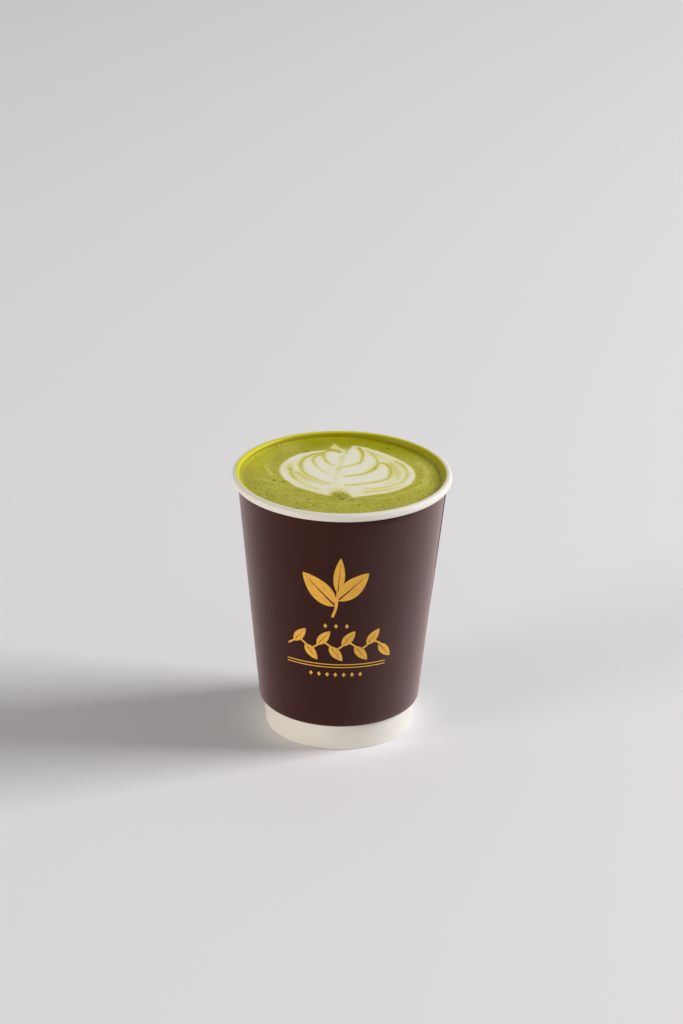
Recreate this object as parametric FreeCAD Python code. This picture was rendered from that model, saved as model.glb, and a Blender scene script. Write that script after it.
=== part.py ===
import FreeCAD, Part
import math
import os

# A matcha latte in a double-wall paper cup to go, in millimetres. The cup stands on z = 0 and
# its axis is Z. Its front faces -Y, and the lap of its outer wall lies near +X.

# Overall sizes
cup_height = 112.5
rim_radius = 45.0          # outside of the rolled rim
foot_radius = 30.65        # outside of the inner cup, at the floor

# Papers, and the gap between two that lie on each other
cup_paper = 0.45
base_paper = 0.45
sleeve_paper = 0.4
fit_gap = 0.05

# Rolled rim of the inner cup
roll_width = 2.9           # from the inside of the cup to the outside of the roll
roll_height = 3.4
roll_roundness = 0.94      # 1 would make the top of the roll a full half circle
tail_tightness = 0.8       # bends under the roll, as a share of those on top
tail_height = 1.4          # end of the paper, turned back up inside the roll

# Folded heel that holds the raised base
base_lift = 8.5            # floor to the underside of the base
heel_room = 1.5            # from the top of the heel up to the underside of the base
heel_bend = 0.3
base_bend = 0.8
flange_lift = 0.8          # floor to the lower edge of the base's flange

# Outer wall
skirt_height = 11.8        # white band of the inner cup that shows below the outer wall
air_gap = 1.1              # between the two walls, at the lower edge of the outer one
lap_angle = 86.0           # edge of the lap, in degrees from the front round to +X
lap_crest = 6.0            # degrees from that edge to where the lap stands proudest
lap_tuck = 10.0            # how much tighter the lap's outer layer is than the wall
lap_fade = 0.3             # how far the outer layer sinks into the wall at the bottom
lap_sector = 60.0          # degrees of the wall that can hold the lap

# Drink
level_drop = 2.5           # top of the rim to the level of the drink
meniscus_rise = 0.5
meniscus_width = 2.0

axis = FreeCAD.Vector(0, 0, 1)
centre = FreeCAD.Vector(0, 0, 0)

# The inner cup's outer face is a cone, and its slope is the radius gained for each millimetre up.
cup_slope = (rim_radius - roll_width + cup_paper - foot_radius) / (cup_height - roll_width / 2)
cup_stretch = math.hypot(1, cup_slope)


def cup_face(height, depth):
    # Radius of the surface that lies the given depth inside the inner cup's outer face.
    return foot_radius + cup_slope * height - cup_stretch * depth


def profile_point(radius, height):
    return FreeCAD.Vector(radius, 0, height)


def left_of(start, end):
    # Unit vector square to the stretch, on its left in the profile plane.
    along = (end - start).normalize()
    return FreeCAD.Vector(-along.z, 0, along.x)


def paper_side(corners, bends, offset):
    # Edges of one face of a folded paper. The middle line runs through the corners, each bend
    # rounds one of them, and the face lies the given offset to its left.
    edges = []
    pen = corners[0] + left_of(corners[0], corners[1]) * offset
    for before, corner, after, bend in zip(corners, corners[1:], corners[2:], bends):
        into = (corner - before).normalize()
        out = (after - corner).normalize()
        turn = into.getAngle(out)
        reach = bend * math.tan(turn / 2)
        side = math.copysign(1, into.x * out.z - into.z * out.x)
        bend_start = corner - into * reach
        bend_end = corner + out * reach
        hub = bend_start + left_of(before, corner) * (side * bend)
        middle = hub + (corner - hub).normalize() * (bend - side * offset)
        arc_start = bend_start + left_of(before, corner) * offset
        arc_end = bend_end + left_of(corner, after) * offset
        edges.append(Part.LineSegment(pen, arc_start).toShape())
        edges.append(Part.Arc(arc_start, middle, arc_end).toShape())
        pen = arc_end
    last = corners[-1] + left_of(corners[-2], corners[-1]) * offset
    edges.append(Part.LineSegment(pen, last).toShape())
    return edges


def turned(edges):
    # Solid of revolution about the cup's axis.
    wire = Part.Wire(Part.sortEdges(edges)[0])
    return Part.Face(wire).revolve(centre, axis, 360)


def turned_paper(corners, bends, paper):
    left = paper_side(corners, bends, paper / 2)
    right = paper_side(corners, bends, -paper / 2)
    ends = []
    for index, vertex in ((0, 0), (-1, 1)):
        start = left[index].Vertexes[vertex].Point
        end = right[index].Vertexes[vertex].Point
        ends.append(Part.LineSegment(start, end).toShape())
    return turned(left + right + ends)


def make_inner_cup():
    middle = cup_paper / 2
    heel_depth = middle + cup_paper + base_paper + 2 * fit_gap
    top = cup_height - middle
    outside = rim_radius - middle
    roll_bottom = cup_height - roll_height + middle
    tail_depth = -(fit_gap + middle)
    tail_top = roll_bottom + tail_height
    heel_height = base_lift - heel_room
    corners = [
        profile_point(cup_face(heel_height, heel_depth), heel_height),
        profile_point(cup_face(middle, heel_depth), middle),
        profile_point(cup_face(middle, middle), middle),
        profile_point(cup_face(top, middle), top),
        profile_point(outside, top),
        profile_point(outside, roll_bottom),
        profile_point(cup_face(roll_bottom, tail_depth), roll_bottom),
        profile_point(cup_face(tail_top, tail_depth), tail_top),
    ]
    roll_bend = roll_roundness * (roll_width - cup_paper) / 2
    tail_bend = tail_tightness * roll_bend
    bends = [heel_bend, heel_bend, roll_bend, roll_bend, tail_bend, tail_bend]
    return turned_paper(corners, bends, cup_paper)


def make_cup_base():
    depth = cup_paper + fit_gap + base_paper / 2
    height = base_lift + base_paper / 2
    corners = [
        profile_point(cup_face(flange_lift, depth), flange_lift),
        profile_point(cup_face(height, depth), height),
        profile_point(0, height),
    ]
    return turned_paper(corners, [base_bend], base_paper)


def outer_wall_radius(height, depth):
    # Radius of the surface that lies the given depth inside the outer wall's outer face. The wall
    # lies on the inner cup at the top and stands off by the air gap at the bottom.
    top = cup_height - roll_height - fit_gap
    top_radius = cup_face(top, -(fit_gap + sleeve_paper - depth))
    bottom_radius = cup_face(skirt_height, -(air_gap + sleeve_paper - depth))
    share = (height - skirt_height) / (top - skirt_height)
    return bottom_radius + share * (top_radius - bottom_radius)


def make_lap(bottom, top):
    # Outer layer of the lap: a tighter cone pushed sideways until it stands one paper proud at
    # the top and sinks into the wall lower down. It rises gently and ends in a paper's edge.
    edge_angle = lap_angle - 90
    reach = FreeCAD.Vector(2 * rim_radius, 0, 0)
    outward = FreeCAD.Rotation(axis, edge_angle + lap_crest).multVec(FreeCAD.Vector(1, 0, 0))
    rings = []
    for height, proud in ((bottom, -lap_fade), (top, sleeve_paper)):
        hub = outward * (lap_tuck + proud) + axis * height
        radius = outer_wall_radius(height, 0) - lap_tuck
        rings.append(Part.Wire(Part.makeCircle(radius, hub, axis)))
    cone = Part.makeLoft(rings, True, True)
    sector_start = FreeCAD.Rotation(axis, edge_angle).multVec(reach)
    sector_end = FreeCAD.Rotation(axis, edge_angle + lap_sector).multVec(reach)
    triangle = Part.makePolygon([centre, sector_start, sector_end, centre])
    sector = Part.Face(triangle).extrude(axis * cup_height)
    core_bottom = outer_wall_radius(0, sleeve_paper / 2)
    core_top = outer_wall_radius(cup_height, sleeve_paper / 2)
    core = Part.makeCone(core_bottom, core_top, cup_height)
    return cone.common(sector).cut(core)


def make_outer_wall():
    middle = sleeve_paper / 2
    bottom = skirt_height + middle
    top = cup_height - roll_height - fit_gap
    corners = [
        profile_point(outer_wall_radius(top, middle), top),
        profile_point(outer_wall_radius(bottom, middle), bottom),
        profile_point(cup_face(bottom, -fit_gap), bottom),
    ]
    wall = turned_paper(corners, [air_gap], sleeve_paper)
    return wall.fuse(make_lap(bottom + air_gap, top)).removeSplitter()


def make_drink():
    bottom = base_lift + base_paper + fit_gap
    level = cup_height - level_drop
    depth = cup_paper + fit_gap
    shore = cup_face(level + meniscus_rise, depth)
    floor_edge = profile_point(cup_face(bottom, depth), bottom)
    meniscus_top = profile_point(shore, level + meniscus_rise)
    meniscus_middle = profile_point(shore - meniscus_width / 2, level + meniscus_rise / 4)
    meniscus_foot = profile_point(shore - meniscus_width, level)
    floor_middle = profile_point(0, bottom)
    level_middle = profile_point(0, level)
    edges = [
        Part.LineSegment(floor_middle, floor_edge).toShape(),
        Part.LineSegment(floor_edge, meniscus_top).toShape(),
        Part.Arc(meniscus_top, meniscus_middle, meniscus_foot).toShape(),
        Part.LineSegment(meniscus_foot, level_middle).toShape(),
        Part.LineSegment(level_middle, floor_middle).toShape(),
    ]
    return turned(edges)


os.makedirs("parts", exist_ok=True)
nodes = {
    "inner_cup": make_inner_cup(),
    "cup_base": make_cup_base(),
    "outer_wall": make_outer_wall(),
    "matcha_latte": make_drink(),
}
for name, shape in nodes.items():
    shape.exportStep("parts/" + name + ".step")
    print(name, len(shape.Solids), "solid", round(shape.Volume), "mm3, valid", shape.isValid())
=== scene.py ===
import math

import bpy
import numpy as np
from mathutils import Matrix, Vector


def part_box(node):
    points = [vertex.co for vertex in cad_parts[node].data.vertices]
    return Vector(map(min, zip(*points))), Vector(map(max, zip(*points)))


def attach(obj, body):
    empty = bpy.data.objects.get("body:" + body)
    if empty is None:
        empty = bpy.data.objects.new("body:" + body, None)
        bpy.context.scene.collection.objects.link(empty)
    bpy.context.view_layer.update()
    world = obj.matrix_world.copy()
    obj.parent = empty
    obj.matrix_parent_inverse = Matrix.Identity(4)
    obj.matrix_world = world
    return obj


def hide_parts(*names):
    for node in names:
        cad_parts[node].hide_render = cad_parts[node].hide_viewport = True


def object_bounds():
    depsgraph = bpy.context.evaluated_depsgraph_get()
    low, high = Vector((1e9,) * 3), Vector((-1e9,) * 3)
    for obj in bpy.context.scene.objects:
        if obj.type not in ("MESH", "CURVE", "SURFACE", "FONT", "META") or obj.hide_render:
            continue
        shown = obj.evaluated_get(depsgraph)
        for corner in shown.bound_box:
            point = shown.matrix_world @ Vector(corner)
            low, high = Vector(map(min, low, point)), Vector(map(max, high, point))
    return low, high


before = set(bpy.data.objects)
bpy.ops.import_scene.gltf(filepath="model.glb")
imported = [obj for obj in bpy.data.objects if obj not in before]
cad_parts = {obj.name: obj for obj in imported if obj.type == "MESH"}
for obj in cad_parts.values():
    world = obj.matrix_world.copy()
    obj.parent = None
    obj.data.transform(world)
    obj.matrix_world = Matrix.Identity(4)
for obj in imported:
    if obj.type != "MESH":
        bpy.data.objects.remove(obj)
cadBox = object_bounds()

mm = 0.001
rimRadius = cadBox[1].x / mm
cupHeight = cadBox[1].z / mm
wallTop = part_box("outer_wall")[1].z / mm
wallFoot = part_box("outer_wall")[0].z / mm
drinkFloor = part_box("matcha_latte")[0].z / mm
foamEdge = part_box("matcha_latte")[1].z / mm      # top of the meniscus, where foam meets paper
print("frame loaded")


# a shader socket that can be added, multiplied and so on
class Field:
    def __init__(self, tree, socket):
        self.tree = tree
        self.socket = socket

    def math(self, operation, first, second=0.0):
        node = self.tree.nodes.new("ShaderNodeMath")
        node.operation = operation
        for socket, value in zip(node.inputs, (first, second)):
            if isinstance(value, Field):
                self.tree.links.new(value.socket, socket)
            else:
                socket.default_value = value
        return Field(self.tree, node.outputs[0])

    def __add__(self, other):
        return self.math("ADD", self, other)

    def __radd__(self, other):
        return self.math("ADD", other, self)

    def __sub__(self, other):
        return self.math("SUBTRACT", self, other)

    def __rsub__(self, other):
        return self.math("SUBTRACT", other, self)

    def __mul__(self, other):
        return self.math("MULTIPLY", self, other)

    def __rmul__(self, other):
        return self.math("MULTIPLY", other, self)

    def __pow__(self, other):
        return self.math("POWER", self, other)


class Finish:
    def __init__(self, name, **settings):
        self.material = bpy.data.materials.new(name)
        self.material.use_nodes = True
        self.tree = self.material.node_tree
        self.shader = self.tree.nodes["Principled BSDF"]
        for socket, value in settings.items():
            self.shader.inputs[socket.replace("_", " ")].default_value = value

    def add(self, kind, output, settings=None, sockets=None):
        node = self.tree.nodes.new(kind)
        for key, value in (settings or {}).items():
            if key == "stops":
                self.setStops(node.color_ramp, value)
            else:
                setattr(node, key, value)
        for key, value in (sockets or {}).items():
            self.feed(node.inputs[key], value)
        return Field(self.tree, node.outputs[output])

    def setStops(self, ramp, stops):
        while len(ramp.elements) < len(stops):
            ramp.elements.new(1.0)
        for element, (place, colour) in zip(ramp.elements, stops):
            element.position = place
            element.color = (*colour, 1.0)

    def feed(self, socket, value):
        if isinstance(value, Field):
            self.tree.links.new(value.socket, socket)
        elif isinstance(value, tuple) and len(value) == 3 and socket.type == "RGBA":
            socket.default_value = (*value, 1.0)
        else:
            socket.default_value = value

    def place(self):
        return self.add("ShaderNodeTexCoord", "Object")

    def axes(self, place):
        return [self.add("ShaderNodeSeparateXYZ", axis, None, {"Vector": place}) for axis in "XYZ"]

    def noise(self, place, grain, detail=2.0, roughness=0.5):
        # grain is the size of the noise's features in mm
        sockets = {"Vector": place, "Scale": 1 / (grain * mm), "Detail": detail, "Roughness": roughness}
        return self.add("ShaderNodeTexNoise", "Fac", None, sockets)

    def ramp(self, value, low, high):
        # 0 at low, 1 at high, smooth between
        settings = {"interpolation_type": "SMOOTHSTEP", "clamp": True}
        sockets = {"Value": value, "From Min": low, "From Max": high}
        return self.add("ShaderNodeMapRange", "Result", settings, sockets)

    def blend(self, share, first, second):
        # sockets 0, 6 and 7 of a colour mix are its factor, A and B, and output 2 its colour
        return self.add("ShaderNodeMix", 2, {"data_type": "RGBA"}, {0: share, 6: first, 7: second})

    def bump(self, height, depth):
        # depth in mm
        normal = self.add("ShaderNodeBump", "Normal", None, {"Height": height, "Distance": depth * mm})
        self.feed(self.shader.inputs["Normal"], normal)

    def paint(self, socket, value):
        self.feed(self.shader.inputs[socket], value)


def roundedLine(corners, bends, arcSteps=8, runSteps=1):
    # points of a line through the corners, each inner corner rounded with its bend radius
    points = [np.array(corners[0], float)]
    for before, corner, after, bend in zip(corners, corners[1:], corners[2:], bends):
        before, corner, after = (np.array(p, float) for p in (before, corner, after))
        into = (corner - before) / np.linalg.norm(corner - before)
        out = (after - corner) / np.linalg.norm(after - corner)
        turn = math.acos(np.clip(into @ out, -1, 1))
        side = math.copysign(1, into[0] * out[1] - into[1] * out[0])
        start = corner - into * bend * math.tan(turn / 2)
        hub = start + side * bend * np.array([-into[1], into[0]])
        last = points[-1]
        points += [last + (start - last) * k / runSteps for k in range(1, runSteps)]
        for step in range(arcSteps + 1):
            angle = side * turn * step / arcSteps
            spoke = start - hub
            turned = (spoke[0] * math.cos(angle) - spoke[1] * math.sin(angle),
                      spoke[0] * math.sin(angle) + spoke[1] * math.cos(angle))
            points.append(hub + turned)
    points.append(np.array(corners[-1], float))
    return points


def turnSheet(name, line, around):
    # a ring, extruded and resized step by step along the line of (radius, height)
    radius, height = line[0]
    bpy.ops.object.select_all(action="DESELECT")
    bpy.ops.mesh.primitive_circle_add(vertices=around, radius=radius * mm, location=(0, 0, height * mm))
    piece = bpy.context.object
    piece.name = name
    bpy.ops.object.mode_set(mode="EDIT")
    bpy.ops.mesh.select_all(action="SELECT")
    for nextRadius, nextHeight in line[1:]:
        move = {"value": (0, 0, (nextHeight - height) * mm)}
        bpy.ops.mesh.extrude_region_move(TRANSFORM_OT_translate=move)
        grow = nextRadius / radius
        bpy.ops.transform.resize(value=(grow, grow, 1), center_override=(0, 0, nextHeight * mm))
        radius, height = nextRadius, nextHeight
    bpy.ops.object.mode_set(mode="OBJECT")
    bpy.ops.object.transform_apply(location=True, rotation=True, scale=True)
    return piece


def modify(piece, kind, **settings):
    modifier = piece.modifiers.new(kind.title(), kind)
    for key, value in settings.items():
        setattr(modifier, key, value)
    bpy.context.view_layer.objects.active = piece
    bpy.ops.object.modifier_apply(modifier=modifier.name)


def recalculate(piece):
    bpy.context.view_layer.objects.active = piece
    bpy.ops.object.mode_set(mode="EDIT")
    bpy.ops.mesh.select_all(action="SELECT")
    bpy.ops.mesh.normals_make_consistent(inside=False)
    bpy.ops.object.mode_set(mode="OBJECT")


def smooth(piece, angle=40):
    bpy.ops.object.select_all(action="DESELECT")
    piece.select_set(True)
    bpy.context.view_layer.objects.active = piece
    bpy.ops.object.shade_smooth_by_angle(angle=math.radians(angle))


def readPoints(piece):
    points = np.empty(len(piece.data.vertices) * 3)
    piece.data.vertices.foreach_get("co", points)
    return points.reshape(-1, 3)


def writePoints(piece, points):
    piece.data.vertices.foreach_set("co", points.ravel())
    piece.data.update()


def joinAll(pieces, name):
    bpy.ops.object.select_all(action="DESELECT")
    for piece in pieces:
        piece.select_set(True)
    bpy.context.view_layer.objects.active = pieces[0]
    bpy.ops.object.transform_apply(location=True, rotation=True, scale=True)
    bpy.ops.object.join()
    joined = bpy.context.object
    joined.name = name
    joined.data.name = name
    return joined


def flatGrid(columns, rows):
    bpy.ops.object.select_all(action="DESELECT")
    bpy.ops.mesh.primitive_grid_add(x_subdivisions=columns, y_subdivisions=rows, size=2)
    return bpy.context.object


def install(piece, slot, *materials):
    for material in materials:
        piece.data.materials.append(material)
    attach(piece, "root")


# inner cup: one white paper with its rolled rim and folded heel
innerCup = {
    "paper": 0.45,
    "basePaper": 0.45,
    "fitGap": 0.05,
    "footRadius": 30.65,
    "rollWidth": 2.9,
    "rollHeight": 3.4,
    "rollRoundness": 0.94,
    "tailTightness": 0.8,
    "tailHeight": 1.4,
    "heelHeight": 7.0,
    "heelBend": 0.3,
    "bendSteps": 9,
    "around": 192,
}
cupSlope = ((rimRadius - innerCup["rollWidth"] + innerCup["paper"] - innerCup["footRadius"])
            / (cupHeight - innerCup["rollWidth"] / 2))
cupStretch = math.hypot(1, cupSlope)


def cupFace(height, depth=0.0):
    # radius of the surface that lies that deep inside the inner cup's outer face
    return innerCup["footRadius"] + cupSlope * height - cupStretch * depth


def makeInnerCup():
    size = innerCup
    middle = size["paper"] / 2
    heelDepth = middle + size["paper"] + size["basePaper"] + 2 * size["fitGap"]
    top = cupHeight - middle
    outside = rimRadius - middle
    rollFoot = cupHeight - size["rollHeight"] + middle
    tailDepth = -(size["fitGap"] + middle)
    tailTop = rollFoot + size["tailHeight"]
    corners = [
        (cupFace(size["heelHeight"], heelDepth), size["heelHeight"]),
        (cupFace(middle, heelDepth), middle),
        (cupFace(middle, middle), middle),
        (cupFace(top, middle), top),
        (outside, top),
        (outside, rollFoot),
        (cupFace(rollFoot, tailDepth), rollFoot),
        (cupFace(tailTop, tailDepth), tailTop),
    ]
    rollBend = size["rollRoundness"] * (size["rollWidth"] - size["paper"]) / 2
    tailBend = size["tailTightness"] * rollBend
    bends = [size["heelBend"]] * 2 + [rollBend] * 2 + [tailBend] * 2
    line = roundedLine(corners, bends, size["bendSteps"], runSteps=2)
    piece = turnSheet("innerCup", line, size["around"])
    modify(piece, "SOLIDIFY", thickness=size["paper"] * mm, offset=0.0, use_even_offset=True)
    recalculate(piece)
    smooth(piece)
    return piece


# outer wall: one brown sheet, wrapped once round with its edge lapped over its own start
outerWall = {
    "paper": 0.4,
    "airGap": 1.1,
    "lapEdge": 85.5,      # degrees from the front round to +X
    "lapLean": 14.0,      # how much further round the edge is at the foot
    "lapWidth": 12.0,
    "lapRise": 8.0,       # degrees over which the outer layer comes down onto the cup
    "lapGap": 0.03,
    "columns": 300,
    "bendSteps": 8,
    "rows": 40,
}


def wallLine():
    size = outerWall
    middle = size["paper"] / 2
    foot = wallFoot + middle
    topRadius = cupFace(wallTop, -(innerCup["fitGap"] + middle))
    footRadius = cupFace(wallFoot, -(size["airGap"] + middle))
    corners = [(topRadius, wallTop), (footRadius, foot), (cupFace(foot, -innerCup["fitGap"]), foot)]
    return np.array(roundedLine(corners, [size["airGap"]], size["bendSteps"], size["rows"]))


def makeOuterWall(*materials):
    size = outerWall
    line = wallLine()
    bpy.ops.object.select_all(action="DESELECT")
    bpy.ops.mesh.primitive_grid_add(x_subdivisions=size["columns"], y_subdivisions=len(line) - 1, size=1)
    piece = bpy.context.object
    piece.name = "outerWall"
    points = readPoints(piece)
    along = (points[:, 0] + 0.5) * (360 + size["lapWidth"])
    down = (0.5 - points[:, 1]) * (len(line) - 1)
    radius = np.interp(down, range(len(line)), line[:, 0])
    height = np.interp(down, range(len(line)), line[:, 1])
    fall = (wallTop - height) / (wallTop - wallFoot)
    landing = np.clip((along - size["lapWidth"] - 1) / size["lapRise"], 0, 1)
    lift = 1 - landing ** 2 * (3 - 2 * landing)
    radius = radius + lift * (size["paper"] + size["lapGap"])
    angle = np.radians(size["lapEdge"] + size["lapLean"] * fall + along - 90)
    points = np.stack([radius * np.cos(angle), radius * np.sin(angle), height], 1) * mm
    writePoints(piece, points)
    recalculate(piece)
    for material in materials:
        piece.data.materials.append(material)
    rim = {"use_rim": True, "material_offset_rim": 1}
    modify(piece, "SOLIDIFY", thickness=size["paper"] * mm, offset=0.0, use_even_offset=True, **rim)
    smooth(piece)
    return piece


# foam: the top of the drink, with the leaf poured into it
foam = {
    "cells": 300,
    "wallReach": 0.1,      # how far the edge reaches into the paper
    "meniscusRise": 0.5,
    "meniscusWidth": 2.0,
    "milkRise": 0.14,
    "swell": (14.0, 0.05),       # length and height of the surface's slow waves
    "pitDepth": 0.5,
    "pitsWithin": 38,            # open bubbles lie nearer to the axis than this
    "outlineSoftness": 0.8,
    "outlineWobble": (7.0, 0.16),        # length and size of the outline's unevenness
    "frothSoftness": 1.2,        # how much softer the outline gets in the froth at the leaf's foot
    "frothRagged": (2.2, 0.75),  # length and size of its unevenness there
    "lineHalo": (2.6, 0.14),     # a line's wide faint side: widths of the line, share of its strength
    # closed outline of the poured leaf, from its left shoulder and over the top to the right
    "outline": [(-7.7, 27.9), (-5.4, 28.3), (-3.1, 28.0), (-1.1, 26.8), (0.7, 24.0), (1.7, 26.6),
                (2.3, 29.4), (3.1, 32.2), (4.8, 33.4), (9.2, 31.8), (13.8, 28.4), (18.4, 24.5),
                (22.2, 20.3), (26.1, 15.3), (28.7, 10.0), (29.9, 3.8), (29.5, -1.5), (28.0, -6.9),
                (24.5, -11.5), (19.9, -15.3), (15.3, -17.6), (10.7, -19.2), (6.9, -20.5), (4.4, -21.8),
                (3.1, -19.4), (1.5, -17.2), (-0.8, -15.9), (-3.1, -16.3), (-4.6, -17.9), (-4.8, -20.0),
                (-7.4, -19.0), (-10.7, -16.9), (-15.3, -14.0), (-19.2, -10.5), (-22.2, -6.1),
                (-24.9, 0.0), (-25.9, 5.4), (-25.4, 10.0), (-23.0, 16.9), (-19.2, 22.2), (-13.8, 25.9)],
    "leafTip": [(-3.3, 35.2), (-4.8, 32.4), (-5.4, 29.9), (-3.4, 28.8), (-0.8, 27.2), (0.3, 23.0),
                (1.2, 25.5), (0.5, 29.6), (-1.7, 32.2)],
    "leafTipMilk": 0.75,
    # lines of green between the petals: points, half width, strength at the start and at the end
    "lines": [
        ([(-1.1, 25.9), (-3.1, 27.4), (-5.4, 27.5), (-7.4, 25.9), (-8.1, 23.0), (-7.7, 19.2), (-6.5, 16.1),
          (-5.0, 13.0), (-4.0, 11.9)], 0.85, 0.95, 0.35),
        ([(-9.2, 22.2), (-11.5, 20.3), (-12.3, 16.9), (-11.5, 13.0), (-9.6, 8.4), (-6.9, 3.8), (-5.0, 1.5)],
         0.75, 0.7, 0.2),
        ([(-9.0, 24.6), (-12.3, 23.0), (-15.3, 19.9), (-17.0, 15.3), (-17.2, 10.7), (-16.5, 6.1),
          (-14.9, 2.3), (-12.3, -1.5), (-9.2, -4.6), (-5.4, -7.7)], 0.9, 0.85, 0.4),
        ([(-21.1, 3.1), (-19.9, -1.5), (-17.2, -6.1), (-13.8, -10.0), (-10.0, -13.0)], 0.9, 0.55, 0.2),
        ([(-18.9, 4.2), (-16.6, 0.6), (-13.8, -3.1), (-10.0, -6.9), (-7.7, -8.8)], 0.85, 0.5, 0.25),
        ([(6.9, 30.7), (8.0, 26.1), (8.3, 21.5), (7.7, 16.9), (6.1, 13.8), (3.8, 11.9), (0.8, 10.3),
          (-0.8, 9.0), (-1.6, 6.5)], 0.8, 0.85, 0.25),
        ([(10.3, 28.5), (12.4, 24.0), (14.2, 18.4), (14.6, 13.8), (13.4, 9.2)], 0.9, 0.25, 0.7),
        ([(13.4, 9.2), (11.1, 5.4), (7.7, 2.3), (3.8, 0.8), (0.8, 0.2)], 0.9, 0.75, 0.4),
        ([(16.5, 14.8), (18.4, 13.0), (19.8, 9.2), (19.9, 5.4), (19.5, 1.5), (18.4, -1.5), (15.3, -4.2),
          (10.7, -6.5), (6.1, -8.0), (1.5, -9.0)], 0.85, 0.8, 0.5),
        ([(19.6, 14.6), (21.6, 10.4), (22.3, 5.6), (21.8, 0.8)], 1.2, 0.42, 0.3),
        ([(22.4, 16.6), (25.2, 12.0), (26.7, 6.1), (26.4, 0.8), (24.9, -3.8), (22.2, -6.9), (19.2, -9.2),
          (14.6, -11.1), (9.2, -12.6)], 0.8, 0.5, 0.3),
        ([(23.9, 5.6), (23.4, 0.0), (21.3, -3.8), (17.4, -7.0)], 0.7, 0.3, 0.2),
        ([(25.5, -8.0), (20.8, -12.2), (15.0, -14.6), (9.0, -16.2)], 0.8, 0.1, 0.3),
        ([(0.0, 24.5), (-0.5, 18.0), (-1.5, 9.0), (-2.5, 0.0), (-3.1, -7.7)], 0.9, 0.22, 0.12),
        ([(2.6, 33.0), (1.8, 27.8), (0.9, 23.0), (0.2, 17.4)], 1.05, 0.75, 0.1),
    ],
    # soft spots: centre, half width and half length, turn in degrees, how much milk they take away or add
    "spots": [
        ((-21.2, 6.9), (1.1, 2.6), 8, -0.75),
        ((-22.0, 10.5), (2.2, 5.0), -18, -0.26),
        ((18.2, 19.4), (2.0, 7.0), 42, -0.20),
        ((24.6, 11.0), (2.0, 7.0), 14, -0.12),
        ((-17.2, -2.0), (1.5, 7.5), 40, -0.22),
        ((-12.0, -13.0), (1.5, 6.0), 58, -0.2),
        ((15.0, -13.4), (2.2, 9.5), -66, -0.22),
        ((-1.2, -15.2), (4.2, 3.2), 0, -0.4),
        ((13.2, 24.6), (2.0, 6.0), 45, -0.14),
    ],
    # paler streaks in the green, turned by the pour
    "streaks": [
        ([(0.4, 33.0), (1.3, 29.0), (0.9, 25.6), (0.5, 21.5)], 1.3, 0.46),
        ([(-31.5, 17.0), (-31.0, 9.0), (-29.4, 2.5), (-27.0, -3.0)], 1.1, 0.34),
        ([(-36.5, -3.0), (-31.0, -4.5), (-25.5, -8.5), (-20.5, -13.5)], 1.3, 0.16),
        ([(-33.0, -10.5), (-27.0, -13.0), (-21.0, -17.5)], 1.6, 0.14),
        ([(-22.0, 33.0), (-13.0, 36.2), (-2.0, 37.4)], 1.6, 0.12),
        ([(-30.0, 27.5), (-20.0, 31.5), (-10.0, 32.6)], 1.2, 0.1),
        ([(30.0, 19.5), (34.0, 11.5), (35.4, 3.0), (34.0, -6.0), (29.0, -14.5)], 1.3, 0.22),
        ([(33.2, 10.0), (33.8, 0.0), (31.0, -9.0), (24.5, -17.0)], 0.8, 0.14),
        ([(12.0, -22.0), (20.0, -20.0), (27.0, -14.0)], 1.2, 0.14),
        ([(-20.0, -21.0), (-11.0, -25.5), (0.0, -27.2), (12.0, -26.6)], 1.0, 0.1),
    ],
    # broad patches: centre, half width and half length, turn, how deep the green is (below 0: brighter);
    # the deep ones along the back and the right edge are painted shade and shadow from the rim, the bright
    # ones at the back left are painted light, the others are tone that differs at random
    "patches": [
        ((0.0, 38.0), (34.0, 9.0), 0, 0.9),
        ((24.0, 29.0), (7.0, 14.0), 52, 0.75),
        ((-15.0, 31.0), (9.0, 3.0), 24, 0.3),
        ((-31.5, -9.5), (6.5, 3.2), 8, 0.4),
        ((38.5, 2.0), (3.5, 11.0), -8, 0.5),
        ((-34.6, 15.5), (5.6, 12.5), -16, -0.95),
        ((-30.0, -1.0), (7.0, 9.0), 10, -0.42),
        ((0.0, -33.0), (18.0, 5.0), 0, 0.18),
        ((-26.0, 29.0), (9.0, 4.0), 42, -0.45),
        ((30.0, -8.0), (5.0, 11.0), -24, -0.25),
        ((-14.0, -24.0), (10.0, 5.0), -28, -0.2),
    ],
    # rough patches of fine bubbles: centre, half width and half length, turn, strength
    "footFroth": [
        ((-0.6, -17.8), (4.6, 2.4), 0, 1.0),
        ((0.5, -22.5), (7.5, 3.6), 0, 0.6),
    ],
    "froth": [
        ((19.5, 31.0), (6.0, 3.0), -40, 0.45),
        ((-14.0, 28.0), (6.5, 2.6), 25, 0.4),
        ((-27.0, -5.0), (4.0, 6.5), 25, 0.35),
    ],
    # open bubbles: place and radius
    "pits": [((0.0, -22.4), 0.75), ((-1.2, -20.2), 0.45), ((4.0, -23.6), 0.5), ((7.0, -28.4), 0.5),
             ((-13.8, -23.4), 0.55), ((-27.6, -4.6), 0.6), ((32.0, -5.0), 0.5), ((19.0, 31.0), 0.5),
             ((-15.0, 27.2), 0.45), ((-11.5, -30.0), 0.4), ((-30.5, -18.0), 0.4), ((24.5, -21.5), 0.35)],
    "finePits": 90,        # more of them, strewn
    "finePitRadius": (0.16, 0.34),
    "milkCover": 0.9,      # share of an open bubble's depth that milk fills
}


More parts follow.
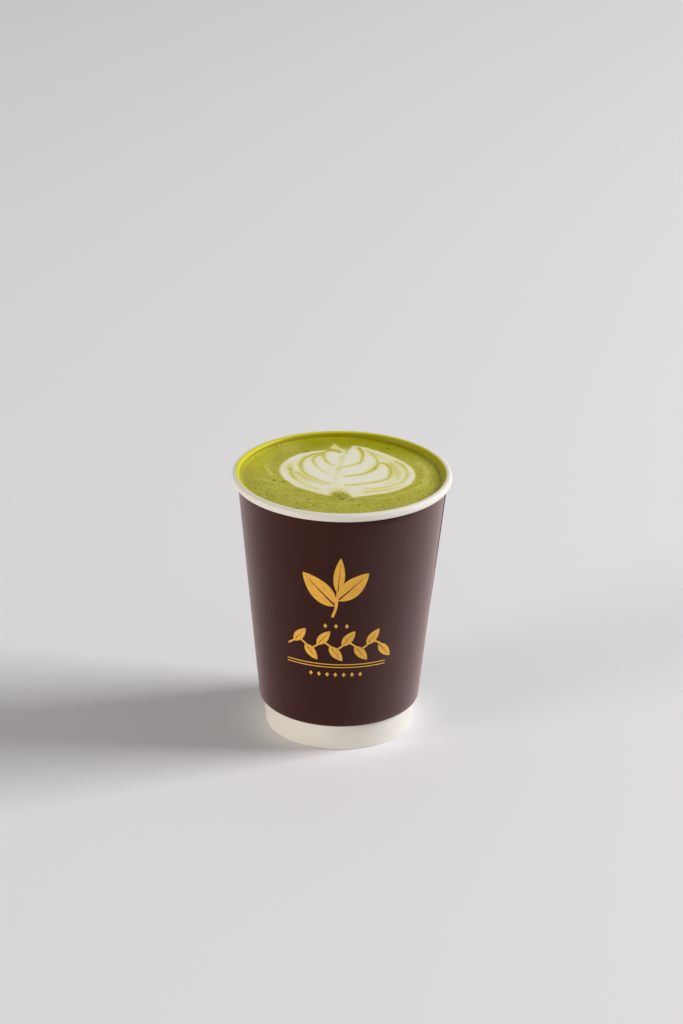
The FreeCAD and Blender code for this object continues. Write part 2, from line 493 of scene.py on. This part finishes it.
def spline(points, steps=10, closed=False):
    # smooth curve through the points
    points = np.array(points, float)
    if closed:
        padded = np.vstack([points[-1], points, points[:2]])
    else:
        padded = np.vstack([2 * points[0] - points[1], points, 2 * points[-1] - points[-2]])
    t = np.arange(steps)[:, None] / steps
    curve = []
    for a, b, c, d in zip(padded, padded[1:], padded[2:], padded[3:]):
        curve.append(0.5 * (2 * b + (c - a) * t + (2 * a - 5 * b + 4 * c - d) * t ** 2
                            + (3 * b - 3 * c + d - a) * t ** 3))
    curve.append(padded[-2:-1])
    return np.vstack(curve)


def distanceTo(curve, spots):
    # distance from each spot to the curve, and how far along the curve the nearest place is, 0 to 1
    nearest = np.full(len(spots), np.inf)
    along = np.zeros(len(spots))
    for index, (start, end) in enumerate(zip(curve, curve[1:])):
        step = end - start
        share = np.clip(((spots - start) @ step) / max(step @ step, 1e-12), 0, 1)
        reach = np.hypot(*(spots - start - share[:, None] * step).T)
        closer = reach < nearest
        nearest = np.where(closer, reach, nearest)
        along = np.where(closer, (index + share) / (len(curve) - 1), along)
    return nearest, along


def insideOf(curve, spots):
    # True where a spot lies inside the closed curve
    inside = np.zeros(len(spots), bool)
    x, y = spots.T
    for (x0, y0), (x1, y1) in zip(curve, np.roll(curve, -1, 0)):
        crosses = (y0 > y) != (y1 > y)
        place = x0 + (y - y0) * (x1 - x0) / (y1 - y0 if y1 != y0 else 1e-12)
        inside ^= crosses & (x < place)
    return inside


def ripple(spots, size, seed):
    # smooth random unevenness, about -1 to 1
    draw = np.random.default_rng(seed)
    value = np.zeros(len(spots))
    for turn in range(6):
        heading = draw.uniform(0, 2 * math.pi)
        pitch = size * draw.uniform(0.7, 1.5)
        phase = draw.uniform(0, 2 * math.pi)
        value += np.sin(spots @ (math.cos(heading), math.sin(heading)) * 2 * math.pi / pitch + phase)
    return value / 3


def softSum(fields, spots):
    # sum of soft oval patches: centre, half width and half length, turn in degrees, amount
    total = np.zeros(len(spots))
    for centre, (width, length), turn, amount in fields:
        across = math.radians(turn)
        local = spots - centre
        u = local @ (math.cos(across), math.sin(across)) / width
        v = local @ (-math.sin(across), math.cos(across)) / length
        total += amount * np.exp(-(u ** 2 + v ** 2))
    return total


def milkAt(spots):
    # share of milk in the foam's surface, 0 green to 1 white
    rough = np.clip(softSum(foam["footFroth"], spots), 0, 1)
    soft = foam["outlineSoftness"] * (1 + foam["frothSoftness"] * rough)
    pitch, amount = foam["outlineWobble"]
    wobble = np.stack([ripple(spots, pitch, 3), ripple(spots, pitch, 4)], 1) * amount
    pitch, amount = foam["frothRagged"]
    ragged = np.stack([ripple(spots, pitch, 13), ripple(spots, pitch, 14)], 1) * rough[:, None] * amount
    spots = spots + wobble + ragged
    milk = np.zeros(len(spots))
    for outline, most in ((foam["outline"], 1.0), (foam["leafTip"], foam["leafTipMilk"])):
        curve = spline(outline, 8, closed=True)
        reach = distanceTo(curve, spots)[0]
        signed = np.where(insideOf(curve, spots), reach, -reach)
        share = np.clip(0.5 + signed / (2 * soft), 0, 1)
        milk = np.maximum(milk, most * share ** 2 * (3 - 2 * share))
    body = milk
    haloWidth, haloShare = foam["lineHalo"]
    for points, width, strengthStart, strengthEnd in foam["lines"]:
        reach, along = distanceTo(spline(points, 8), spots)
        strength = strengthStart + (strengthEnd - strengthStart) * along
        core = (1 - haloShare) * np.exp(-(reach / width) ** 2)
        halo = haloShare * np.exp(-(reach / (haloWidth * width)) ** 2)
        milk = milk * (1 - strength * (core + halo))
    return np.clip(milk + softSum(foam["spots"], spots) * body, 0, 1)


def creamAt(spots):
    cream = np.zeros(len(spots))
    for points, width, strength in foam["streaks"]:
        reach, along = distanceTo(spline(points, 6), spots)
        fade = np.sin(np.clip(along, 0.02, 0.98) * math.pi) ** 0.6
        cream += strength * fade * np.exp(-(reach / width) ** 2)
    return cream


def pitsAt(spots):
    # depth of the open bubbles, 0 to 1
    draw = np.random.default_rng(21)
    pits = list(foam["pits"])
    least, most = foam["finePitRadius"]
    while len(pits) < len(foam["pits"]) + foam["finePits"]:
        place = draw.uniform(-foam["pitsWithin"], foam["pitsWithin"], 2)
        if np.hypot(*place) < foam["pitsWithin"]:
            pits.append((tuple(place), draw.uniform(least, most)))
    depth = np.zeros(len(spots))
    for centre, radius in pits:
        reach = np.hypot(*(spots - centre).T) / radius
        depth = np.maximum(depth, np.exp(-reach ** 4) * min(1, radius / 0.4))
    return depth


def foamHeight(spots, reach):
    # height of the foam's surface without its pits; reach is the distance from the cup's axis
    edge = cupFace(foamEdge, innerCup["paper"]) + foam["wallReach"]
    climb = np.clip((reach - edge + foam["meniscusWidth"]) / foam["meniscusWidth"], 0, 1)
    height = foamEdge - foam["meniscusRise"] * (1 - climb ** 2)
    pitch, amount = foam["swell"]
    return height + amount * ripple(spots, pitch, 8) * (1 - climb)


def makeFoam():
    size = foam
    edge = cupFace(foamEdge, innerCup["paper"]) + size["wallReach"]
    bpy.ops.object.select_all(action="DESELECT")
    bpy.ops.mesh.primitive_grid_add(x_subdivisions=size["cells"], y_subdivisions=size["cells"], size=2)
    piece = bpy.context.object
    piece.name = "latte"
    points = readPoints(piece)
    square = np.maximum(np.abs(points[:, 0]), np.abs(points[:, 1]))
    radius = np.maximum(np.hypot(points[:, 0], points[:, 1]), 1e-9)
    spots = points[:, :2] * (square / radius)[:, None] * edge
    reach = square * edge
    fields = {
        "milk": milkAt(spots),
        "cream": creamAt(spots),
        "pit": pitsAt(spots),
        # painted shade along the back and the right edge, painted light at the back left, with random
        # patches
        "deep": softSum(size["patches"], spots),
        "froth": np.clip(softSum(size["footFroth"] + size["froth"], spots), 0, 1),
    }
    fields["pit"] *= 1 - size["milkCover"] * fields["milk"]
    height = foamHeight(spots, reach) + size["milkRise"] * fields["milk"] - size["pitDepth"] * fields["pit"]
    writePoints(piece, np.column_stack([spots, height]) * mm)
    for name, values in fields.items():
        attribute = piece.data.attributes.new(name, "FLOAT", "POINT")
        attribute.data.foreach_set("value", values.astype(np.float32))
    bpy.ops.object.mode_set(mode="EDIT")
    bpy.ops.mesh.select_all(action="SELECT")
    bpy.ops.mesh.region_to_loop()
    depth = foamEdge - drinkFloor
    floorRadius = cupFace(drinkFloor, innerCup["paper"] + innerCup["fitGap"])
    bpy.ops.mesh.extrude_region_move(TRANSFORM_OT_translate={"value": (0, 0, -depth * mm)})
    shrink = floorRadius / edge
    bpy.ops.transform.resize(value=(shrink, shrink, 1), center_override=(0, 0, drinkFloor * mm))
    bpy.ops.mesh.edge_face_add()
    bpy.ops.object.mode_set(mode="OBJECT")
    recalculate(piece)
    smooth(piece)
    return piece


# small closed bubbles that stand on the foam: one dome, copied and joined
bubbles = {
    "least": 0.12,
    "most": 0.36,
    "cut": 0.42,           # the dome ends this share of the radius below its centre
    "rise": -0.15,         # of the centre over the foam, as a share of the radius
    "flatness": 0.8,       # height of a dome, as a share of a round one's
    "mostMilk": 0.25,      # none stand where the foam is whiter than this
    "seed": 5,
    # groups: how many, centre, spread across and along
    "groups": [
        (46, (-0.4, -18.6), (3.4, 1.7)),
        (26, (1.5, -24.0), (8.0, 2.6)),
        (20, (-27.5, -4.0), (3.0, 5.5)),
        (16, (19.0, 30.0), (4.5, 2.6)),
        (12, (-14.5, 27.8), (5.0, 2.0)),
    ],
    "alongWall": 60,       # a broken chain of them where the foam meets the paper
    "wallSpots": ([0.4, 2.2, 3.6, 5.1], 0.5),    # angles that they gather round, and their spread
    "fromWall": (0.5, 1.6),
}


def bubblePlaces():
    draw = np.random.default_rng(bubbles["seed"])
    places = []
    for count, centre, spread in bubbles["groups"]:
        places += [np.array(centre) + draw.normal(0, 1, 2) * spread for each in range(count)]
    shore = cupFace(foamEdge, innerCup["paper"])
    angles, spread = bubbles["wallSpots"]
    for each in range(bubbles["alongWall"]):
        angle = draw.normal(draw.choice(angles), spread)
        reach = shore - draw.uniform(*bubbles["fromWall"])
        places.append(np.array([math.cos(angle), math.sin(angle)]) * reach)
    radii = bubbles["least"] + (bubbles["most"] - bubbles["least"]) * draw.random(len(places)) ** 2
    return np.array(places), radii


def makeBubbles():
    bpy.ops.object.select_all(action="DESELECT")
    bpy.ops.mesh.primitive_ico_sphere_add(subdivisions=2, radius=mm)
    dome = bpy.context.object
    bpy.ops.object.mode_set(mode="EDIT")
    bpy.ops.mesh.select_all(action="SELECT")
    low = (0, 0, -bubbles["cut"] * mm)
    bpy.ops.mesh.bisect(plane_co=low, plane_no=(0, 0, 1), use_fill=True, clear_inner=True)
    bpy.ops.object.mode_set(mode="OBJECT")
    places, radii = bubblePlaces()
    milk = milkAt(places)
    onGreen = milk < bubbles["mostMilk"]
    places, radii, milk = places[onGreen], radii[onGreen], milk[onGreen]
    heights = foamHeight(places, np.hypot(*places.T)) + foam["milkRise"] * milk
    copies = []
    for (x, y), height, radius in zip(places, heights, radii):
        copy = dome.copy()
        copy.data = dome.data.copy()
        bpy.context.collection.objects.link(copy)
        copy.location = (x * mm, y * mm, (height + radius * bubbles["rise"]) * mm)
        copy.scale = (radius, radius, radius * bubbles["flatness"])
        copies.append(copy)
    bpy.data.objects.remove(dome)
    piece = joinAll(copies, "foamBubbles")
    smooth(piece, 60)
    return piece


# gold ornament on the outer wall: a tea sprig over a vine, all of it flat before it is wrapped on
ornament = {
    "ink": 0.03,           # thickness
    "inkGap": 0.009,       # from the wall to the ink's back
    "middle": -1.5,        # of the ornament, to the right of the front
    "vein": 0.09,          # share of a leaf's width left bare along its middle
    # leaves: place of the base, length, width, lean to the right in degrees
    "leaves": [((0.5, 76.0), 16.0, 4.6, 4), ((-0.2, 69.8), 20.0, 8.6, -44), ((0.5, 72.4), 17.5, 8.0, 46)],
    "leafColumns": 7,
    "leafRows": 18,
    "leafBelly": (0.85, 0.8),    # below 1: widest nearer to the base, and fuller
    "stem": [(0.6, 77.0), (0.3, 73.0), (-0.3, 68.5), (-1.6, 64.6)],
    "stemStroke": 1.12,
    "vineLength": 41.0,
    "vineHeight": 51.0,
    "vineWave": 1.5,
    "vineTurns": 4,
    "vineLeaf": (8.6, 4.0, 38),  # length, width, lean
    "vineLeafRise": 0.2,         # of its base over the vine's middle
    "stroke": 0.8,
    "ruleHeights": [(42.2, 42.0), (40.9, 42.0)],    # height and length
    "rule": 0.42,
    "diamonds": [(60.4, 4.4, 3), (37.4, 3.4, 7)],   # height, spacing, how many
    "diamond": (2.2, 1.6),
}


def makeLeaf():
    # one flat leaf of unit length and width, its base at the origin, bare along its vein
    columns = ornament["leafColumns"]
    leaf = flatGrid(columns, ornament["leafRows"])
    bpy.ops.object.mode_set(mode="EDIT")
    bpy.ops.mesh.select_mode(type="FACE")
    bpy.ops.mesh.select_all(action="DESELECT")
    bpy.ops.object.mode_set(mode="OBJECT")
    for face in leaf.data.polygons:
        face.select = abs(face.center.x) < 0.5 / columns
    bpy.ops.object.mode_set(mode="EDIT")
    bpy.ops.mesh.delete(type="FACE")
    bpy.ops.object.mode_set(mode="OBJECT")
    points = readPoints(leaf)
    along = (points[:, 1] + 1) / 2
    widest, fullness = ornament["leafBelly"]
    belly = np.sin(math.pi * along ** widest) ** fullness
    share = (np.abs(points[:, 0]) - 1 / columns) / (1 - 1 / columns)
    vein = ornament["vein"] * (1 - along) * np.minimum(belly * 4, 1)
    across = vein + share * np.maximum(belly - vein, 0)
    writePoints(leaf, np.column_stack([np.sign(points[:, 0]) * across / 2, along, 0 * along]))
    bpy.ops.object.mode_set(mode="EDIT")
    bpy.ops.mesh.select_all(action="SELECT")
    bpy.ops.mesh.remove_doubles(threshold=0.0005)
    bpy.ops.object.mode_set(mode="OBJECT")
    return leaf


def placeCopy(shape, place, length, width, lean):
    copy = shape.copy()
    copy.data = shape.data.copy()
    bpy.context.collection.objects.link(copy)
    copy.location = (place[0] * mm, place[1] * mm, 0)
    copy.rotation_euler = (0, 0, -math.radians(lean))
    copy.scale = (width * mm, length * mm, 1)
    return copy


def makeStroke(points, width):
    # a flat ribbon along the smooth curve through the points
    curve = spline(points, 8)
    stroke = flatGrid(len(curve) - 1, 1)
    flat = readPoints(stroke)
    step = np.rint((flat[:, 0] + 1) / 2 * (len(curve) - 1)).astype(int)
    run = np.gradient(curve, axis=0)
    run /= np.linalg.norm(run, axis=1)[:, None]
    side = np.column_stack([-run[step, 1], run[step, 0]]) * flat[:, 1:2] * width / 2
    writePoints(stroke, np.column_stack([curve[step] + side, flat[:, 2]]) * mm)
    return stroke


def makeDiamond():
    diamond = flatGrid(2, 2)
    points = readPoints(diamond)
    turned = np.column_stack([points[:, 0] - points[:, 1], points[:, 0] + points[:, 1], 0 * points[:, 0]])
    writePoints(diamond, turned / 4)
    return diamond


def makeOrnament():
    size = ornament
    leaf = makeLeaf()
    diamond = makeDiamond()
    parts = [placeCopy(leaf, *each) for each in size["leaves"]]
    parts.append(makeStroke(size["stem"], size["stemStroke"]))
    bends = 2 * size["vineTurns"]
    half = size["vineLength"] / 2
    wave = []
    for bend in range(bends + 1):
        x = -half + size["vineLength"] * bend / bends
        side = 1 if bend % 2 else -1
        wave.append((x, size["vineHeight"] + side * size["vineWave"]))
        if 0 < bend:
            length, width, lean = size["vineLeaf"]
            base = (x - half / bends, size["vineHeight"] + side * size["vineLeafRise"])
            parts.append(placeCopy(leaf, base, length, width, lean if side > 0 else 180 - lean))
    parts.append(makeStroke(wave, size["stroke"]))
    for height, length in size["ruleHeights"]:
        ends = [(-length / 2 + length * k / 6, height) for k in range(7)]
        parts.append(makeStroke(ends, size["rule"]))
    for height, spacing, count in size["diamonds"]:
        for each in range(count):
            x = spacing * (each - (count - 1) / 2)
            parts.append(placeCopy(diamond, (x, height), *size["diamond"], 0))
    bpy.data.objects.remove(leaf)
    bpy.data.objects.remove(diamond)
    piece = joinAll(parts, "goldOrnament")
    wrapOnWall(piece)
    modify(piece, "SOLIDIFY", thickness=size["ink"] * mm, offset=1.0)
    smooth(piece, 60)
    return piece


def wrapOnWall(piece):
    # from flat, x across and y up, onto the outer wall's outer face
    points = readPoints(piece) / mm
    line = wallLine()[::-1]
    radius = np.interp(points[:, 1], line[:, 1], line[:, 0]) + outerWall["paper"] / 2 + ornament["inkGap"]
    angle = (points[:, 0] + ornament["middle"]) / radius - math.pi / 2
    wrapped = np.column_stack([radius * np.cos(angle), radius * np.sin(angle), points[:, 1]])
    writePoints(piece, wrapped * mm)


paperColours = {
    "white": (0.785, 0.755, 0.69),
    "shade": (0.75, 0.72, 0.65),
    # film: real wet matcha on the paper, its deep yellow-green also painted green bounce light from the
    # foam
    "filmAndBounce": (0.34, 0.32, 0.002),
    "filmCrestAndHighlight": (0.64, 0.59, 0.02),   # paler where it thins out over the rolled rim, and a painted highlight where the crest is lit
    "wall": (0.024, 0.0036, 0.0014),
    "wallWarm": (0.034, 0.0058, 0.0024),
    "cut": (0.27, 0.215, 0.205),
    "gold": (0.86, 0.46, 0.068),
    "goldWorn": (0.74, 0.38, 0.055),
}


# thin wet foam left inside the cup above the drink, its yellow-green also painted green bounce light from
# the foam, in mm
filmAndBounce = {
    "reach": 0.9,                 # how far it goes over the rolled rim, from the cup's inner face
    "reachLitBackLeft": 0.75,        # and how much further at the back left, as painted light where the light falls there
    "reachUneven": (6.0, 0.4),    # length and size of its edge's unevenness
    "edge": (-0.5, 0.45),         # it fades out between these distances from that edge
    "start": (-2.5, -1.5),        # it fades in between these heights, from the foam's edge
    "crest": (-0.6, -0.1),        # it thins out, with a painted highlight, between these heights, from the top of the rim
    "litCrestLeft": 0.95,            # and that much lower on the left, painted light where the lamp falls on the inner wall
    "litBackLeft": (-12, 30),        # distances from the axis where these sides begin and are full
    "left": (18, 40),
}


def inMetres(lengths):
    return [length * mm for length in lengths]


def cupFinish():
    finish = Finish("coatedWhitePaper", IOR=1.25)
    place = finish.place()
    x, y, z = finish.axes(place)
    radius = (x * x + y * y) ** 0.5
    mottle = finish.noise(place, 9.0, 3.0)
    fibre = finish.noise(place, 0.35, 2.0)
    colour = finish.blend(mottle * 0.6, paperColours["white"], paperColours["shade"])
    pitch, uneven = filmAndBounce["reachUneven"]
    tide = finish.noise(place, pitch, 2.0) - 0.5
    # painted light: the film reaches further over the rim at the back left, where the light falls
    litBackLeft = finish.ramp(y * 0.8 - x * 0.6, *inMetres(filmAndBounce["litBackLeft"]))
    brim = (cupFace(foamEdge, innerCup["paper"]) + filmAndBounce["reach"]) * mm
    brim = brim + litBackLeft * (filmAndBounce["reachLitBackLeft"] * mm) + tide * (uneven * mm)
    nearInside = 1 - finish.ramp(radius - brim, *inMetres(filmAndBounce["edge"]))
    above = finish.ramp(z - foamEdge * mm, *inMetres(filmAndBounce["start"]))
    # painted light: the pale crest colour reaches lower on the left, whose inner wall faces the lamp
    left = finish.ramp(x * -1, *inMetres(filmAndBounce["left"]))
    crest = finish.ramp(z + left * (filmAndBounce["litCrestLeft"] * mm) - cupHeight * mm, *inMetres(filmAndBounce["crest"]))
    # the film's colour: wet matcha and painted green bounce light, paler towards the crest
    wetAndBounce = finish.blend(crest, paperColours["filmAndBounce"], paperColours["filmCrestAndHighlight"])
    colour = finish.blend(nearInside * above, colour, wetAndBounce)
    finish.paint("Base Color", colour)
    finish.paint("Roughness", 0.40 + fibre * 0.12)
    finish.bump(fibre, 0.02)
    return finish.material


def wallFinish():
    sheen = {"Sheen Weight": 1.0, "Sheen Roughness": 0.43, "Sheen Tint": (1.0, 0.75, 0.76, 1.0)}
    finish = Finish("brownCoatedPaper", IOR=1.12, **sheen)
    place = finish.place()
    mottle = finish.noise(place, 14.0, 3.0)
    fibre = finish.noise(place, 0.4, 3.0)
    colour = finish.blend(mottle, paperColours["wall"], paperColours["wallWarm"])
    finish.paint("Base Color", colour)
    finish.paint("Roughness", 0.33 + fibre * 0.1)
    finish.bump(fibre, 0.015)
    return finish.material


def cutFinish():
    finish = Finish("cutPaperEdge", Roughness=0.8)
    grain = finish.noise(finish.place(), 0.3, 2.0)
    finish.paint("Base Color", finish.blend(grain * 0.4, paperColours["cut"], paperColours["wall"]))
    return finish.material


def goldFinish():
    finish = Finish("goldInk", IOR=1.3)
    place = finish.place()
    wear = finish.ramp(finish.noise(place, 1.6, 3.0), 0.35, 0.75)
    grain = finish.noise(place, 0.3, 2.0)
    finish.paint("Base Color", finish.blend(wear, paperColours["gold"], paperColours["goldWorn"]))
    finish.paint("Roughness", 0.34 + grain * 0.14)
    finish.bump(grain, 0.01)
    return finish.material


foamColours = {
    "stops": [
        (0.0, (0.30, 0.278, 0.018)),
        (0.2, (0.468, 0.438, 0.054)),
        (0.44, (0.574, 0.541, 0.092)),
        (0.68, (0.725, 0.685, 0.225)),
        (0.86, (0.83, 0.795, 0.47)),
        (1.0, (0.87, 0.845, 0.71)),
    ],
    # deep: painted shade from the rim on the foam; bright: painted light at the back left; both also random
    # mottle
    "deep": (0.35, 0.328, 0.001),
    "bright": (0.58, 0.545, 0.035),
    # flecks: the foam's own fine bubbles, darkened where the bump dents the foam, a painted shade in their
    # dents
    "flecks": (0.225, 0.205, 0.010),
    # pit: painted shade inside the open bubbles
    "pit": (0.085, 0.072, 0.004),
}


# how the fields and noises add up to the share of milk, which picks the foam's colour
foamMix = {
    "base": 0.2,
    "milk": 0.8,
    "ragged": 1.6,            # in froth
    "cloud": 0.3,             # where the foam is green
    "curd": 0.35,
    "grain": (0.12, 1.05),    # on milk, and how much more on green
    "cloudDepth": (0.7, 0.3),        # how cloudy the deep and the bright patches are
    "deep": ((0.02, 1.0), 0.95),     # from where to where a patch fades in, and its most
    "bright": ((0.05, 1.05), 0.9),
    "flecks": ((0.58, 0.70), 0.6),
    "fleckFroth": 0.1,        # how much more flecked froth is
    "pit": 0.85,
}


def foamFinish():
    finish = Finish("milkFoam", IOR=1.12)
    place = finish.place()
    fields = {}
    for name in ("milk", "cream", "pit", "deep", "froth"):
        fields[name] = finish.add("ShaderNodeAttribute", "Fac", {"attribute_name": name})
    cloud = finish.noise(place, 11.0, 4.0, 0.6) - 0.5
    grain = finish.noise(place, 0.9, 4.0, 0.75) - 0.5
    curd = finish.noise(place, 2.6, 3.0, 0.65) - 0.5
    fleckField = finish.noise(place, 0.85, 2.0, 0.6)
    mix = foamMix
    green = 1 - fields["milk"]
    loose = green * green
    onMilk, onGreen = mix["grain"]
    share = fields["milk"] * mix["milk"] + fields["cream"] + mix["base"]
    share = share + (fleckField - 0.5) * fields["froth"] * mix["ragged"]
    share = share + (cloud * mix["cloud"] + curd * mix["curd"]) * loose
    share = share + grain * (onMilk + loose * onGreen)
    colour = finish.add("ShaderNodeValToRGB", "Color", {"stops": foamColours["stops"]}, {"Fac": share})
    deepCloud, brightCloud = mix["cloudDepth"]
    # the deep and bright patches paint shade from the rim and light at the back left onto the green
    patches = {
        "deep": fields["deep"] + cloud * deepCloud,
        "bright": (fields["deep"] + cloud * brightCloud) * -1,
        "flecks": fleckField + fields["froth"] * mix["fleckFroth"],
    }
    for name, field in patches.items():
        span, most = mix[name]
        colour = finish.blend(finish.ramp(field, *span) * green * most, colour, foamColours[name])
    # painted shade: the open bubbles darkened by their depth
    colour = finish.blend(fields["pit"] * mix["pit"], colour, foamColours["pit"])
    finish.paint("Base Color", colour)
    finish.paint("Roughness", 0.42 + grain * 0.2)
    finish.bump(grain * (0.6 + fields["froth"]) - fleckField * 0.5, 0.14)
    return finish.material


def bubbleFinish():
    finish = Finish("foamBubble", Roughness=0.35, IOR=1.2)
    place = finish.place()
    tone = finish.ramp(finish.noise(place, 1.2, 2.0), 0.35, 0.7)
    finish.paint("Base Color", finish.blend(tone, foamColours["stops"][2][1], foamColours["flecks"]))
    finish.bump(finish.noise(place, 0.2, 1.0), 0.01)
    return finish.material


studio = {
    "floorSize": 16,
    "aim": (0, 0, 0.08),
    "floor": (0.83, 0.82, 0.84),
    "world": 0.26,        # what lights the object
    "backdrop": 0.74,      # what is seen behind it and in its gloss
    # lamps: place, size, power, colour
    "key": ((2.95, 0.3, 1.8), 1.4, 117.0, (1.0, 1.0, 1.0)),
    "fill": ((-2.25, -1.3, 0.52), 1.0, 37.0, (1.0, 0.92, 0.81)),
}
view = {
    "lens": 105.0,
    "sensor": 36,
    "distance": 1.2691,
    "elevation": 27.53,
    "pitch": 23.63,
    "roll": 0.87,
}


def makeStage():
    bpy.ops.object.select_all(action="DESELECT")
    bpy.ops.mesh.primitive_plane_add(size=studio["floorSize"])
    floor = bpy.context.object
    floor.name = "floor"
    finish = Finish("paleFloor", Roughness=0.7)
    finish.paint("Base Color", studio["floor"])
    floor.data.materials.append(finish.material)
    world = bpy.data.worlds.new("paleRoom")
    bpy.context.scene.world = world
    world.use_nodes = True
    tree = world.node_tree
    back = tree.nodes["Background"]
    back.inputs["Color"].default_value = (1.0, 0.995, 0.99, 1.0)
    path = tree.nodes.new("ShaderNodeLightPath")
    camera, gloss, clear = (Field(tree, path.outputs["Is " + ray + " Ray"])
                            for ray in ("Camera", "Glossy", "Transmission"))
    seen = camera + gloss + clear
    strength = seen * (studio["backdrop"] - studio["world"]) + studio["world"]
    tree.links.new(strength.socket, back.inputs["Strength"])


def makeLight(name):
    place, size, power, colour = studio[name]
    aim = Vector(studio["aim"]) - Vector(place)
    bpy.ops.object.light_add(type="AREA", location=place, rotation=aim.to_track_quat("-Z", "Y").to_euler())
    lamp = bpy.context.object
    lamp.name = name
    lamp.data.energy = power
    lamp.data.color = colour
    lamp.data.size = size


def makeCamera():
    elevation = math.radians(view["elevation"])
    back = view["distance"] * math.cos(elevation)
    up = view["distance"] * math.sin(elevation)
    bpy.ops.object.camera_add(location=(0, -back, up))
    camera = bpy.context.object
    camera.name = "camera"
    tilt = Matrix.Rotation(math.radians(90 - view["pitch"]), 4, "X")
    roll = Matrix.Rotation(math.radians(view["roll"]), 4, "Z")
    camera.matrix_world = Matrix.Translation((0, -back, up)) @ tilt @ roll
    camera.data.lens = view["lens"]
    camera.data.sensor_width = view["sensor"]
    bpy.context.scene.camera = camera


paper = cupFinish()
cup = makeInnerCup()
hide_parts("inner_cup")
install(cup, "cup_paper", paper)
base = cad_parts["cup_base"]
base.data.materials.clear()
base.data.materials.append(paper)
print("inner cup and base")

wall = makeOuterWall(wallFinish(), cutFinish())
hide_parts("outer_wall")
install(wall, "wall_paper")
print("outer wall")

gold = makeOrnament()
install(gold, "wall_paper", goldFinish())
print("ornament")

latte = makeFoam()
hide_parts("matcha_latte")
install(latte, "latte", foamFinish())
froth = makeBubbles()
install(froth, "latte", bubbleFinish())
print("latte")

makeStage()
makeLight("key")
makeLight("fill")
makeCamera()
bpy.context.scene.view_settings.view_transform = "Standard"
print("stage, light and camera")
